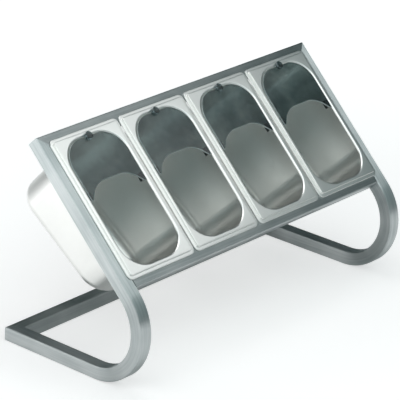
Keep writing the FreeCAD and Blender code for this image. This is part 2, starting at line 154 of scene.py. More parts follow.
def level_edges(bm, height):
    """Edges that lie whole at one height."""
    return [
        edge for edge in bm.edges
        if all(abs(vert.co.z - height) < SAME_HEIGHT for vert in edge.verts)
    ]


def keep_sharp(edges):
    """Shades the two faces of each edge apart, as on a sawn or hard-pressed edge."""
    for edge in edges:
        edge.smooth = False


def cut_and_close(bm, point, normal):
    """Cuts away what lies on the normal's side of a plane, closes the cut and returns its rim."""
    geometry = list(bm.verts) + list(bm.edges) + list(bm.faces)
    cut = bmesh.ops.bisect_plane(
        bm, geom=geometry, plane_co=point, plane_no=normal, clear_outer=True, dist=CUT_PRECISION
    )
    rim = pick(cut["geom_cut"], BMEdge)
    bmesh.ops.edgeloop_fill(bm, edges=rim)
    return rim


def pull(bm, faces, vector):
    """Extrudes faces and returns the faces at the new end."""
    grown = bmesh.ops.extrude_face_region(bm, geom=faces)["geom"]
    bmesh.ops.translate(bm, vec=vector, verts=pick(grown, BMVert))
    return pick(grown, BMFace)


def bevel(bm, geometry, reach, segments, affect):
    """Rounds verts or edges, with each round beginning that far from them."""
    return bmesh.ops.bevel(
        bm, geom=geometry, offset=reach, offset_type="OFFSET", affect=affect,
        segments=segments, profile=0.5, material=-1,
    )


def round_edges(bm, edges, radius, segments):
    """Rounds square edges, where a round begins as far away as its radius."""
    bevel(bm, edges, radius, segments, "EDGES")


def rounded_rectangle(bm, width, length, corner, height, segments):
    """A flat face with rounded corners, level with a height."""
    corners = bmesh.ops.create_grid(bm, x_segments=1, y_segments=1, size=0.5)["verts"]
    bmesh.ops.scale(bm, vec=(width, length, 1), verts=corners)
    bmesh.ops.translate(bm, vec=(0, 0, height), verts=corners)
    cut = bevel(bm, corners, corner, segments, "VERTICES")
    return max(cut["faces"] or bm.faces, key=lambda face: face.calc_area())


# %% [markdown]
# ## The bent side tubes
# A tube bender rolls each side from one length of square tube. The same is done here: the rounded section
# is drawn once, pulled along the floor, spun round the bend and pulled up the slope. A plane then cuts both
# ends at 45 degrees, as a mitre saw does.

# %% Side tubes
TUBE_CORNER_STEPS = 5
BEND_STEPS = 40


def tube_end(bm, turn, centre):
    """The tube's rounded square section, turned to face its run and moved to its centre."""
    face = rounded_rectangle(bm, TUBE, TUBE, TUBE_CORNER, 0, TUBE_CORNER_STEPS)
    matrix = Matrix.Translation(centre) @ turn
    bmesh.ops.transform(bm, matrix=matrix, verts=face.verts)
    return face


def mitre(bm, point, normal):
    """Saws an end off to meet another tube, and keeps the sawn edges sharp."""
    keep_sharp(cut_and_close(bm, point, normal))


def side_tube(name, x_outer, inward):
    bm = bmesh.new()
    middle_x = x_outer + inward * TUBE / 2
    upright = Matrix.Rotation(SQUARE, 4, "X")
    end = tube_end(bm, upright, Vector((middle_x, REAR, TUBE / 2)))
    end = pull(bm, [end], Vector((0, -LEG, 0)))[0]
    swept = bmesh.ops.spin(
        bm, geom=[end], cent=bend_centre, axis=(-1, 0, 0), angle=math.pi - TILT,
        steps=BEND_STEPS, use_merge=False, use_duplicate=False,
    )
    bmesh.ops.delete(bm, geom=[end], context="FACES_ONLY")
    end = pick(swept["geom_last"], BMFace)[0]
    pull(bm, [end], slope_up * LIMB)
    bmesh.ops.delete(bm, geom=[end], context="FACES_ONLY")
    mitre(bm, Vector((x_outer, REAR, 0)), Vector((inward, 1, 0)))
    mitre(bm, top_corner + Vector((x_outer, 0, 0)), Vector((inward, 0, 0)) + slope_up)
    bmesh.ops.recalc_face_normals(bm, faces=bm.faces)
    return place(bm, f"{name}_brushed", "stand", name)


side_tubes = [
    side_tube("left_side_tube", LEFT, 1),
    side_tube("right_side_tube", -LEFT, -1),
]
print("side tubes:", count_faces(side_tubes), "faces")

# %% [markdown]
# ## The straight rails
# Three straight tubes close the frame. The top rail and the rear base rail meet the side tubes in mitres.
# The front rail is cut square and stands between them.

# %% Rails


def rail(name, matrix, half, mitred):
    """A tube along x that fills y and z from minus its size to 0 before it is placed."""
    bm = bmesh.new()
    turn = Matrix.Rotation(SQUARE, 4, "Y")
    end = tube_end(bm, turn, Vector((-half, -TUBE / 2, -TUBE / 2)))
    far_end = pull(bm, [end], Vector((2 * half, 0, 0)))[0]
    keep_sharp(list(end.edges) + list(far_end.edges))
    if mitred:
        mitre(bm, Vector((half, 0, 0)), Vector((1, -1, 0)))
        mitre(bm, Vector((-half, 0, 0)), Vector((-1, -1, 0)))
    bmesh.ops.recalc_face_normals(bm, faces=bm.faces)
    return place(bm, f"{name}_brushed", "stand", name, matrix)


rear_place = Matrix.Translation((0, REAR, TUBE))
front_place = panel @ Matrix.Translation((0, -TUBE - RAIL_OPENING, 0))
rails = [
    rail("top_rail", panel, -LEFT, True),
    rail("rear_base_rail", rear_place, -LEFT, True),
    rail("front_rail", front_place, -LEFT - TUBE, False),
]
print("rails:", count_faces(rails), "faces")

# %% [markdown]
# ## The deep-drawn pans
# A press draws each pan from one sheet. The model is one sheet too: an outline for the lip, one for the low
# rim, one for the raised plate and one for the bowl, joined into a skin. A slanted plane cuts the bowl's
# floor, the pressed edges are rounded, and a Solidify modifier gives the skin the sheet's thickness. The
# rim's flat and the foot of the plate's step meet at a hard line, so those edges stay sharp.

# %% Outlines and skins of a pan
OUTLINE_STEPS = 14


def outline(bm, width, length, corner, height):
    """The edge loop of a rounded rectangle."""
    face = rounded_rectangle(bm, width, length, corner, height, OUTLINE_STEPS)
    loop = list(face.edges)
    bmesh.ops.delete(bm, geom=[face], context="FACES_ONLY")
    return loop


def pan_skin(bm):
    """The pan's upper surface, with sharp edges; returns its outlines from the lip to the bowl.

    The outlines are drawn apart in height, where the bridge can tell them from each other, and then
    moved to their true heights. The bowl is drawn too deep, and its floor is cut later.
    """
    raised = (PAN_WIDTH - 2 * RIM, PAN_LENGTH - 2 * RIM, FLANGE_CORNER - RIM)
    deepest = DEPTH_UPPER + SPARE_DEPTH
    shrink = 2 * deepest * math.tan(DRAFT)
    outlines = [
        (PAN_WIDTH, PAN_LENGTH, FLANGE_CORNER, 0),
        (PAN_WIDTH, PAN_LENGTH, FLANGE_CORNER, RIM_HEIGHT),
        (*raised, RIM_HEIGHT),
        (*raised, PLATE_HEIGHT),
        (THROAT_WIDTH, THROAT_LENGTH, THROAT_CORNER, PLATE_HEIGHT),
        (THROAT_WIDTH - shrink, THROAT_LENGTH - shrink, THROAT_CORNER, PLATE_HEIGHT - deepest),
    ]
    loops = [
        outline(bm, width, length, corner, -step * PAN_WIDTH)
        for step, (width, length, corner, _) in enumerate(outlines)
    ]
    for outer, inner in zip(loops, loops[1:]):
        bmesh.ops.bridge_loops(bm, edges=outer + inner)
    for loop, (_, _, _, height) in zip(loops, outlines):
        for vert in {vert for edge in loop for vert in edge.verts}:
            vert.co.z = height
    return loops


def cut_floor(bm):
    """Cuts the bowl along its sloping floor and closes it; returns the floor's rim."""
    slope = math.atan2(DEPTH_UPPER - DEPTH_LOWER, THROAT_LENGTH)
    middle = Vector((0, 0, PLATE_HEIGHT - (DEPTH_UPPER + DEPTH_LOWER) / 2))
    return cut_and_close(bm, middle, (0, -math.sin(slope), -math.cos(slope)))


def round_floor(weights, rim):
    """Weighs the floor's rim so that the Bevel modifier gives it one radius all the way round."""
    reaches = {}
    for edge in rim:
        inner_angle = math.pi - edge.calc_face_angle()
        reaches[edge] = FLOOR_ROUND / math.tan(inner_angle / 2)
    longest = max(reaches.values())
    for edge, reach in reaches.items():
        edge[weights] = reach / longest
    return longest


# %% Make the pans
PRESS_STEPS, ROLL_STEPS, FLOOR_STEPS = 3, 6, 10


def thicken(piece, reach):
    """Rounds the floor's rim, then gives the skin the sheet's thickness."""
    floor_bevel = piece.modifiers.new("floor round", "BEVEL")
    floor_bevel.limit_method = "WEIGHT"
    floor_bevel.width = reach
    floor_bevel.segments = FLOOR_STEPS
    thickness = piece.modifiers.new("sheet", "SOLIDIFY")
    thickness.thickness = SHEET
    thickness.offset = -1
    thickness.use_even_offset = True


def pan(number):
    bm = bmesh.new()
    weights = bm.edges.layers.float.new("bevel_weight_edge")
    _, rim, foot, plate, mouth, _ = pan_skin(bm)
    keep_sharp(foot)
    floor_rim = cut_floor(bm)
    bmesh.ops.recalc_face_normals(bm, faces=bm.faces)
    if max(bm.faces, key=lambda face: face.calc_area()).normal.z < 0:
        bmesh.ops.reverse_faces(bm, faces=bm.faces)
    reach = round_floor(weights, floor_rim)
    round_edges(bm, rim + plate, PRESS_ROUND, PRESS_STEPS)
    round_edges(bm, mouth, ROLL, ROLL_STEPS)
    piece = place(
        bm, f"pan_{number}_drawn", f"pan_{number}_unit", f"pan_{number}",
        pan_frame(number),
    )
    thicken(piece, reach)
    return piece


pans = [pan(number) for number in pan_numbers]
print("pans:", count_faces(pans), "faces before their modifiers")

# %% [markdown]
# ## The hoods
# Each hood is a flat sheet of smoked acrylic, cut to the opening's upper end and arched below, which leaves
# an ear at each side. Eight corners are enough to draw it. Each corner is then rounded by its own radius,
# and the sheet is pulled to its thickness. The last bevel is the polished edge. Its faces take a second
# material slot with a lighter colour. This is a painted highlight for the light that a clear sheet lets out
# at its edge.

# %% Sizes of a hood
HOOD_INSET = 4.5 * MM
HOOD_SHEET = 3 * MM
KNOB_GAP = 0.3 * MM
HOOD_TOP = PLATE_HEIGHT + KNOB_GAP
HOOD_HALF = PAN_WIDTH / 2 - MARGIN - HOOD_INSET
OPENING_END = PAN_LENGTH / 2 - MARGIN
HOOD_END = OPENING_END - HOOD_INSET
HOOD_CORNER = 45.5 * MM
CROWN = OPENING_END - 83.6 * MM
EAR_REACH, EAR_WIDTH, EAR_CORNER = 26 * MM, 4.3 * MM, 2 * MM
ARCH_ROUND, ARCH_SLOPE = 46 * MM, math.radians(48)
POLISH = 1.0 * MM

# %% Hoods
HOOD_CORNER_STEPS, POLISH_STEPS = 16, 3
LEVEL_ENOUGH = 0.9
FACE_SLOT, EDGE_SLOT = 0, 1


def round_corner(bm, vert, radius, turn):
    """Rounds one corner of a flat face, where the outline turns by that angle."""
    bevel(bm, [vert], radius * math.tan(turn / 2), HOOD_CORNER_STEPS, "VERTICES")


def hood_outline(bm):
    """The flat outline of a hood, its eight corners rounded."""
    ear = CROWN - EAR_REACH
    flank = HOOD_HALF - EAR_WIDTH
    shoulder = flank - EAR_REACH / math.tan(ARCH_SLOPE)
    half = (
        (HOOD_HALF, HOOD_END, HOOD_CORNER, SQUARE),
        (HOOD_HALF, ear, EAR_CORNER, SQUARE),
        (flank, ear, EAR_CORNER, ARCH_SLOPE),
        (shoulder, CROWN, ARCH_ROUND, ARCH_SLOPE),
    )
    mirrored = tuple((-x, y, radius, turn) for x, y, radius, turn in reversed(half))
    corners = [
        (bm.verts.new((x, y, HOOD_TOP)), radius, turn) for x, y, radius, turn in half + mirrored
    ]
    verts = [vert for vert, _, _ in corners]
    edges = [bm.edges.new(pair) for pair in zip(verts, verts[1:] + verts[:1])]
    bmesh.ops.edgeloop_fill(bm, edges=edges)
    for vert, radius, turn in corners:
        round_corner(bm, vert, radius, turn)


def hood(number):
    bm = bmesh.new()
    hood_outline(bm)
    pull(bm, list(bm.faces), (0, 0, -HOOD_SHEET))
    bmesh.ops.recalc_face_normals(bm, faces=bm.faces)
    outlines = level_edges(bm, HOOD_TOP) + level_edges(bm, HOOD_TOP - HOOD_SHEET)
    round_edges(bm, outlines, POLISH, POLISH_STEPS)
    bm.normal_update()
    # Edge faces take the second slot, whose lighter colour is a painted highlight.
    for face in bm.faces:
        level = abs(face.normal.z) >= LEVEL_ENOUGH
        face.material_index = FACE_SLOT if level else EDGE_SLOT
    return place(
        bm, f"hood_{number}_polished", f"hood_{number}_unit", f"hood_{number}",
        pan_frame(number),
    )


hoods = [hood(number) for number in pan_numbers]
print("hoods:", count_faces(hoods), "faces")

# %% [markdown]
# ## The knobs
# A knob is a short turned disc. Its upper edge is rounded and a shallow dish is turned into its face, as a
# lathe leaves it. A cylinder, one bevel and an inset of its top face give all of that.

# %% Knobs
KNOB_RADIUS, KNOB_HEIGHT, KNOB_ROUND = 7.1 * MM, 5.3 * MM, 1.6 * MM
KNOB_AT = OPENING_END - 5.1 * MM
KNOB_STEPS, KNOB_ROUND_STEPS = 64, 6
DISH_MARGIN, DISH_DEPTH = 1.1 * MM, 0.35 * MM


def knob(number):
    bm = bmesh.new()
    bmesh.ops.create_cone(
        bm, cap_ends=True, segments=KNOB_STEPS, radius1=KNOB_RADIUS, radius2=KNOB_RADIUS,
        depth=KNOB_HEIGHT,
    )
    middle = (0, KNOB_AT, HOOD_TOP + KNOB_HEIGHT / 2)
    bmesh.ops.translate(bm, vec=middle, verts=bm.verts)
    round_edges(bm, level_edges(bm, HOOD_TOP + KNOB_HEIGHT), KNOB_ROUND, KNOB_ROUND_STEPS)
    face = max(bm.faces, key=lambda item: item.calc_center_median().z)
    bmesh.ops.inset_region(bm, faces=[face], thickness=DISH_MARGIN, depth=-DISH_DEPTH)
    return place(
        bm, f"hood_knob_{number}_turned", f"hood_{number}_unit",
        f"hood_knob_{number}", pan_frame(number),
    )


knobs = [knob(number) for number in pan_numbers]
print("knobs:", count_faces(knobs), "faces")

# %% [markdown]
# ## Flats stay flat
# Smooth shading runs from a rounded edge into the flat face beside it, and the flat looks blown up. A
# Weighted Normal modifier lets the large faces set the normals, so that only the rounded edges look round.
# It comes last on each piece that was drawn here.

# %% Keep the flats flat
AREA_WEIGHT = 100

drawn = side_tubes + rails + pans + hoods + knobs
for piece in drawn:
    weighted = piece.modifiers.new("flat faces", "WEIGHTED_NORMAL")
    weighted.keep_sharp = True
    weighted.weight = AREA_WEIGHT
print(len(drawn), "pieces drawn")

# %% [markdown]
# ## The grain of the tubes
# Brushed steel is told by its grain, which follows the tube round its bend. No straight pattern does that,
# so each tube is measured along its own run, as if it were unrolled flat, and both distances are stored as
# its UV map.

# %% The grain runs along the tube
GRAIN = "grain"
BEND_LENGTH = BEND * (math.pi - TILT)


def on_side_tube(point):
    """Where a point lies across and along the bent tube, unrolled flat."""
    offset = point - bend_centre
    offset.x = 0
    if offset.y > 0 and offset.dot(slope_out) < 0:
        return point.x + point.z, -offset.y
    if offset.dot(slope_up) > 0 and offset.dot(slope_out) > 0:
        return point.x + BEND - offset.dot(slope_out), BEND_LENGTH + offset.dot(slope_up)
    angle = math.atan2(-offset.y, -offset.z) % math.tau
    return point.x + BEND - offset.length, angle * BEND


def on_rail(point):
    """Where a point lies across and along a straight rail."""
    return point.y + point.z, point.x


def mark_grain(pieces, measure):
    """Stores both distances, in metres, as each piece's own UV map."""
    for piece in pieces:
        mesh = piece.data
        grain = mesh.uv_layers.new(name=GRAIN)
        for loop, value in zip(mesh.loops, grain.data):
            value.uv = measure(mesh.vertices[loop.vertex_index].co.copy())


mark_grain(side_tubes, on_side_tube)
mark_grain(rails, on_rail)
print("grain marked on", len(side_tubes + rails), "tubes")

# %% [markdown]
# ## Shared effects
# Brushed tube, satin pressed sheet, turned studs and smoked acrylic share a few effects: the fine scratches
# of the brush, cloudy patches and faint wiping marks. On the hood sheet the wiping marks also carry painted
# reflections. Each effect is a node group that puts out plain values, and each material sets its own scale
# and strength. The helpers add a node, feed it and calculate.

# %% Helpers for nodes


def new_group(name, inputs, outputs):
    """An empty node group with named inputs (kind, start value) and outputs (kind)."""
    group = bpy.data.node_groups.new(name, "ShaderNodeTree")
    for label, kind, value in inputs:
        socket = group.interface.new_socket(
            label, in_out="INPUT", socket_type=f"NodeSocket{kind}"
        )
        if value is not None:
            socket.default_value = value
    for label, kind in outputs:
        group.interface.new_socket(label, in_out="OUTPUT", socket_type=f"NodeSocket{kind}")
    return group, group.nodes.new("NodeGroupInput"), group.nodes.new("NodeGroupOutput")


def add_node(tree, kind, settings=None, **values):
    """Adds a node; settings are its own options, values go to its sockets."""
    made = tree.nodes.new(f"ShaderNode{kind}")
    for option, value in (settings or {}).items():
        setattr(made, option, value)
    for label, value in values.items():
        made.inputs[label.replace("_", " ")].default_value = value
    return made


def feed(tree, socket, value):
    """Links another node's socket to this one, or sets a number on it."""
    if isinstance(value, bpy.types.NodeSocket):
        tree.links.new(value, socket)
    else:
        socket.default_value = value


def math_node(tree, operation, first, second):
    """One operation on two sockets or numbers."""
    made = add_node(tree, "Math", {"operation": operation})
    feed(tree, made.inputs[0], first)
    feed(tree, made.inputs[1], second)
    return made.outputs[0]


# %% [markdown]
# ### Brushed grain
# A grinding belt leaves fine scratches that all run one way, with longer and coarser ones among them. A
# picture of scratches would repeat itself along a tube, so two noises are stretched along the grain. A third
# one, which isn't stretched, gives the cloudy patches.

# %% Group: brushed grain
COARSE = 0.22


def build_brushed_grain():
    """Scratches along the second axis, in two sizes, and cloudy patches."""
    group, given, out = new_group(
        "brushed grain",
        (
            ("Vector", "Vector", None), ("Length", "Float", 20.0), ("Width", "Float", 1200.0),
            ("Patches", "Float", 18.0),
        ),
        (("Scratch", "Float"), ("Patch", "Float")),
    )
    stretch = group.nodes.new("ShaderNodeCombineXYZ")
    for axis, size in zip("XYZ", ("Width", "Length", "Width")):
        group.links.new(given.outputs[size], stretch.inputs[axis])
    drawn = add_node(group, "VectorMath", {"operation": "MULTIPLY"})
    group.links.new(given.outputs["Vector"], drawn.inputs[0])
    group.links.new(stretch.outputs[0], drawn.inputs[1])
    fine = add_node(group, "TexNoise", Scale=1.0, Detail=1.0, Roughness=0.5)
    group.links.new(drawn.outputs[0], fine.inputs["Vector"])
    coarse = add_node(group, "TexNoise", Scale=COARSE, Detail=2.0, Roughness=0.5)
    group.links.new(drawn.outputs[0], coarse.inputs["Vector"])
    both = math_node(group, "ADD", fine.outputs[0], coarse.outputs[0])
    group.links.new(math_node(group, "MULTIPLY", both, 0.5), out.inputs["Scratch"])
    cloud = add_node(group, "TexNoise", Detail=2.0, Roughness=0.5)
    group.links.new(given.outputs["Vector"], cloud.inputs["Vector"])
    group.links.new(given.outputs["Patches"], cloud.inputs["Scale"])
    group.links.new(cloud.outputs[0], out.inputs["Patch"])
    return group


brushed_grain = build_brushed_grain()

# %% [markdown]
# ### Wiped marks and painted reflections
# A cloth leaves soft clouds on a smooth surface, and faint smears in them. Noise at two scales draws both,
# and the clouds have the larger share. The hood sheet uses the same clouds, with a wide range of colour, as
# painted reflections.

# %% Group: wiped marks and painted reflections
FINER = 7.0
SMEAR_SHARE = 0.2


def build_wiped_marks_and_reflections():
    """Soft clouds with finer smears in them."""
    group, given, out = new_group(
        "wiped marks and reflections",
        (("Vector", "Vector", None), ("Scale", "Float", 30.0)),
        (("Marks", "Float"),),
    )
    cloud = add_node(group, "TexNoise", Detail=2.0, Roughness=0.45, Distortion=0.4)
    group.links.new(given.outputs["Vector"], cloud.inputs["Vector"])
    group.links.new(given.outputs["Scale"], cloud.inputs["Scale"])
    fine = math_node(group, "MULTIPLY", given.outputs["Scale"], FINER)
    smears = add_node(group, "TexNoise", Detail=3.0, Roughness=0.5)
    group.links.new(given.outputs["Vector"], smears.inputs["Vector"])
    group.links.new(fine, smears.inputs["Scale"])
    faint = math_node(group, "MULTIPLY", smears.outputs[0], SMEAR_SHARE)
    mostly = math_node(group, "MULTIPLY", cloud.outputs[0], 1 - SMEAR_SHARE)
    group.links.new(math_node(group, "ADD", faint, mostly), out.inputs["Marks"])
    return group


wiped_marks_and_reflections = build_wiped_marks_and_reflections()

# %% [markdown]
# ### From a mask to a range
# A noise seldom leaves the middle of its range, so a mask is spread before it is used. It eases in and out
# of both limits, which keeps hard borders out of the finish.

# %% Group: spread a mask over a range
MASK_LOW, MASK_HIGH = 0.25, 0.75


def build_between():
    """Turns a mask that varies around the middle into a value between two limits."""
    group, given, out = new_group(
        "between",
        (("Mask", "Float", 0.5), ("Low", "Float", 0.0), ("High", "Float", 1.0)),
        (("Value", "Float"),),
    )
    spread = add_node(
        group, "MapRange", {"interpolation_type": "SMOOTHSTEP"},
        From_Min=MASK_LOW, From_Max=MASK_HIGH,
    )
    group.links.new(given.outputs["Mask"], spread.inputs["Value"])
    group.links.new(given.outputs["Low"], spread.inputs["To Min"])
    group.links.new(given.outputs["High"], spread.inputs["To Max"])
    group.links.new(spread.outputs[0], out.inputs["Value"])
    return group


between = build_between()
print("node groups:", [group.name for group in bpy.data.node_groups])

# %% [markdown]
# ## One way to build every material
# A material starts as a Principled shader with its constants. A mask then varies its colour and another its
# roughness, and a height gives it relief. What differs from finish to finish is only the numbers.

# %% Helpers for materials


def new_material(name, **values):
    """A Principled material whose plain constants sit on the shader's own sockets."""
    material = bpy.data.materials.new(name)
    material.use_nodes = True
    tree = material.node_tree
    shader = tree.nodes["Principled BSDF"]
    for label, value in values.items():
        shader.inputs[label.replace("_", " ")].default_value = value
    return material, tree, shader


def use(tree, group, **values):
    """Places a node group and feeds its inputs; returns its outputs."""
    made = tree.nodes.new("ShaderNodeGroup")
    made.node_tree = group
    for label, value in values.items():
        feed(tree, made.inputs[label], value)
    return made.outputs


def object_place(tree):
    """The point on the piece, in metres."""
    return add_node(tree, "TexCoord").outputs["Object"]


def tint(tree, shader, mask, dark, light):
    """The shader's colour, between two by a mask."""
    blend = add_node(tree, "ValToRGB")
    ramp = blend.color_ramp
    ramp.interpolation = "EASE"
    for stop, position, colour in zip(ramp.elements, (MASK_LOW, MASK_HIGH), (dark, light)):
        stop.position = position
        stop.color = (*colour, 1)
    tree.links.new(mask, blend.inputs["Fac"])
    tree.links.new(blend.outputs["Color"], shader.inputs["Base Color"])


def rough(tree, shader, mask, low, high):
    """The shader's roughness, between two by a mask."""
    value = use(tree, between, Mask=mask, Low=low, High=high)["Value"]
    tree.links.new(value, shader.inputs["Roughness"])


def relief(tree, shader, height, strength, depth):
    """A bump from a height mask; its depth is in metres."""
    bump = add_node(tree, "Bump", Strength=strength, Distance=depth)
    tree.links.new(height, bump.inputs["Height"])
    tree.links.new(bump.outputs["Normal"], shader.inputs["Normal"])


# %% [markdown]
# ## Brushed stand tube
# The tubes were ground along their length. Thousands of scratches finer than a hair spread each highlight
# across the tube, so the shader is anisotropic, and its bump is long and thin. Both read the grain that was
# marked on the tubes. Cloudy patches vary colour and roughness a little, as hand finishing does.

# %% Stand steel


def stand_steel_finish():
    material, tree, shader = new_material("brushed stand steel", Metallic=1.0, Anisotropic=0.93)
    across = add_node(tree, "Tangent", {"direction_type": "UV_MAP", "uv_map": GRAIN})
    tree.links.new(across.outputs[0], shader.inputs["Tangent"])
    grain = add_node(tree, "UVMap", {"uv_map": GRAIN}).outputs["UV"]
    brushed = use(tree, brushed_grain, Vector=grain, Length=9.0, Width=300.0, Patches=11.0)
    scratch, patch = brushed["Scratch"], brushed["Patch"]
    streaks = math_node(tree, "MULTIPLY", math_node(tree, "ADD", patch, scratch), 0.5)
    tint(tree, shader, streaks, dark=(0.39, 0.435, 0.44), light=(0.71, 0.74, 0.74))
    rough(tree, shader, patch, low=0.4, high=0.48)
    relief(tree, shader, scratch, strength=0.3, depth=0.1 * MM)
    return material


stand_steel = stand_steel_finish()
print("made", stand_steel.name)

# %% [markdown]
# ## Satin pan steel
# Pressed sheet keeps the mill's soft satin. It is smoother than the tube, with very faint rolling lines up
# the pan and clouds where it was wiped. Its roughness changes only a little from spot to spot.

# %% Pan steel


def pan_steel_finish():
    material, tree, shader = new_material("satin pan steel", Metallic=1.0)
    spot = object_place(tree)
    rolled = use(tree, brushed_grain, Vector=spot, Length=12.0, Width=60.0, Patches=9.0)
    marks = use(tree, wiped_marks_and_reflections, Vector=spot, Scale=14.0)["Marks"]
    tint(tree, shader, marks, dark=(0.87, 0.87, 0.85), light=(0.91, 0.91, 0.89))
    rough(tree, shader, marks, low=0.28, high=0.32)
    relief(tree, shader, rolled["Scratch"], strength=0.05, depth=0.2 * MM)
    return material


pan_steel = pan_steel_finish()
print("made", pan_steel.name)

# %% [markdown]
# ## Turned stud steel
# The studs are cut from bright rod on a lathe, which leaves rings across their length. Only their outer
# ends show, in the shade of the blocks.

# %% Stud steel


def stud_steel_finish():
    material, tree, shader = new_material("turned stud steel", Metallic=1.0)
    spot = object_place(tree)
    turned = use(tree, brushed_grain, Vector=spot, Length=40.0, Width=4000.0, Patches=90.0)
    tint(tree, shader, turned["Patch"], dark=(0.58, 0.59, 0.6), light=(0.68, 0.69, 0.7))
    rough(tree, shader, turned["Scratch"], low=0.15, high=0.3)
    relief(tree, shader, turned["Scratch"], strength=0.3, depth=0.05 * MM)
    return material


stud_steel = stud_steel_finish()
print("made", stud_steel.name)

# %% [markdown]
# ## Smoked acrylic
# Sheet, edge, knob and block are one plastic, and their polish is only dulled by wiping marks. They differ
# in how far light goes through them. The sheet is thin and clear, and its colour swings in large clouds from
# dark to light. These clouds are painted reflections of the bowl's steel seen through it. Its polished edge
# is painted lighter, as a painted highlight for the light that runs inside the sheet and comes out there.
# The knob is thicker and darker, and hardly any light gets through the blocks. One function makes all four,
# each with its own colours, roughness and size of marks.

# %% Acrylics
ACRYLIC_IOR = 1.49


def acrylic(name, scale, colours, roughness, **constants):
    """Polished plastic whose colour and roughness vary with one mask of wiping marks; on the sheet its wide
    colour range is painted reflection.
    """
    material, tree, shader = new_material(name, IOR=ACRYLIC_IOR, **constants)
    marks = use(tree, wiped_marks_and_reflections, Vector=object_place(tree), Scale=scale)["Marks"]
    tint(tree, shader, marks, *colours)
    rough(tree, shader, marks, *roughness)
    return material


# The sheet's colour clouds, from dark to light, are painted reflections of the bowl's steel seen through it.
sheet_acrylic_painted_reflections = acrylic(
    "smoked acrylic sheet, painted reflections", 11.0, ((0.06, 0.105, 0.115), (0.27, 0.34, 0.345)), (0.06, 0.14),
    Transmission_Weight=1.0, Metallic=0.0,
)
# The edge's light colours are a painted highlight for the light that leaves the sheet at its polished edge.
edge_acrylic_painted_highlight = acrylic(
    "smoked acrylic edge, painted highlight", 40.0, ((0.42, 0.50, 0.51), (0.74, 0.80, 0.80)), (0.15, 0.26),
    Transmission_Weight=0.3, Metallic=0.0,
)
knob_acrylic = acrylic(
    "smoked acrylic knob", 60.0, ((0.10, 0.15, 0.16), (0.16, 0.22, 0.23)), (0.08, 0.2),
    Transmission_Weight=1.0, Metallic=0.0,
)
block_acrylic = acrylic(
    "smoked acrylic, thick", 90.0, ((0.010, 0.018, 0.020), (0.025, 0.038, 0.041)), (0.12, 0.28),
    Coat_Weight=0.6,
)

# %% [markdown]
# ## Every piece gets its finish
# The studs and hinge blocks are the frame's own solids. Their shapes are right as they are, so they only
# get a new material.

# %% Give every piece its finish


def finish_piece(piece, *materials):
    """Gives a piece its materials; a new piece has none to clear, and keeps its faces' slots."""
    if len(piece.data.materials):
        piece.data.materials.clear()
    for material in materials:
        piece.data.materials.append(material)


FINISHES = (
    (side_tubes + rails, stand_steel),
    (pans, pan_steel),
    (knobs, knob_acrylic),
    (hoods, sheet_acrylic_painted_reflections, edge_acrylic_painted_highlight),
)
for pieces, *materials in FINISHES:
    for piece in pieces:
        finish_piece(piece, *materials)
for name, cad_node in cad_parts.items():
    if name.startswith("pivot_stud"):
        finish_piece(cad_node, stud_steel)
    if name.startswith("hinge_block"):
        finish_piece(cad_node, block_acrylic)
print("materials:", [material.name for material in bpy.data.materials])

# %% [markdown]
# ## Camera
# A long lens a good four metres away keeps the tubes nearly parallel. It looks at a point inside the stand,
# from the left and a little above, and is turned a little about its own axis.

# %% Camera
AZIMUTH, ELEVATION, ROLL_ANGLE = (math.radians(value) for value in (-50.086, 22.691, 2.377))
DISTANCE = 4.3289
AIM = Vector((-0.1187, REAR - 0.2282, 0.2604))
LENS, SENSOR = 234.29, 36
FAR_END = 50


def build_camera():
    """A camera that looks at its aim, turned by the three angles."""
    back = Vector((
        math.sin(AZIMUTH) * math.cos(ELEVATION),
        -math.cos(AZIMUTH) * math.cos(ELEVATION),
        math.sin(ELEVATION),
    ))
    right = (-back).cross(Vector((0, 0, 1))).normalized()
    up = right.cross(-back)
    turned_right = right * math.cos(ROLL_ANGLE) + up * math.sin(ROLL_ANGLE)
    turned_up = up * math.cos(ROLL_ANGLE) - right * math.sin(ROLL_ANGLE)
    turn = Matrix((turned_right, turned_up, back)).transposed().to_4x4()
    data = bpy.data.cameras.new("camera")
    data.lens = LENS
    data.sensor_width = SENSOR
    data.clip_end = FAR_END
    camera = bpy.data.objects.new("camera", data)
    camera.matrix_world = Matrix.Translation(AIM + back * DISTANCE) @ turn
    bpy.context.scene.collection.objects.link(camera)
    return camera


camera = build_camera()
bpy.context.scene.camera = camera
print("camera at", [round(value, 3) for value in camera.matrix_world.translation])

# %% [markdown]
# ## Floor
# The floor is plain and pale. What the camera sees of it is lifted to white, and the stand's soft shadow
# stays on it. The steel mirrors the floor too, but sees less of the lift under the stand. This is a painted
# shadow, darker in the steel's reflection where the object shades the floor.

# %% Floor
FLOOR_RADIUS, FLOOR_SIDES = 6, 64
FLOOR_COLOUR = 0.6
LIFT_NEAR, LIFT_FAR, LIFT_REACH = 0.57, 0.88, 1.1
# Under the stand the metal sees little of the lift, which paints a shadow in the steel's reflection.
METAL_UNDER_PAINTED_SHADOW, METAL_AROUND, SHADE_REACH = 0.15, 0.85, 0.05
WHITE = (1, 1, 1, 1)


def build_floor():
    bm = bmesh.new()
    bmesh.ops.create_circle(bm, cap_ends=True, radius=FLOOR_RADIUS, segments=FLOOR_SIDES)
    mesh = bpy.data.meshes.new("floor")
    bm.to_mesh(mesh)
    bm.free()
    floor = bpy.data.objects.new("floor", mesh)
    bpy.context.scene.collection.objects.link(floor)
    return floor


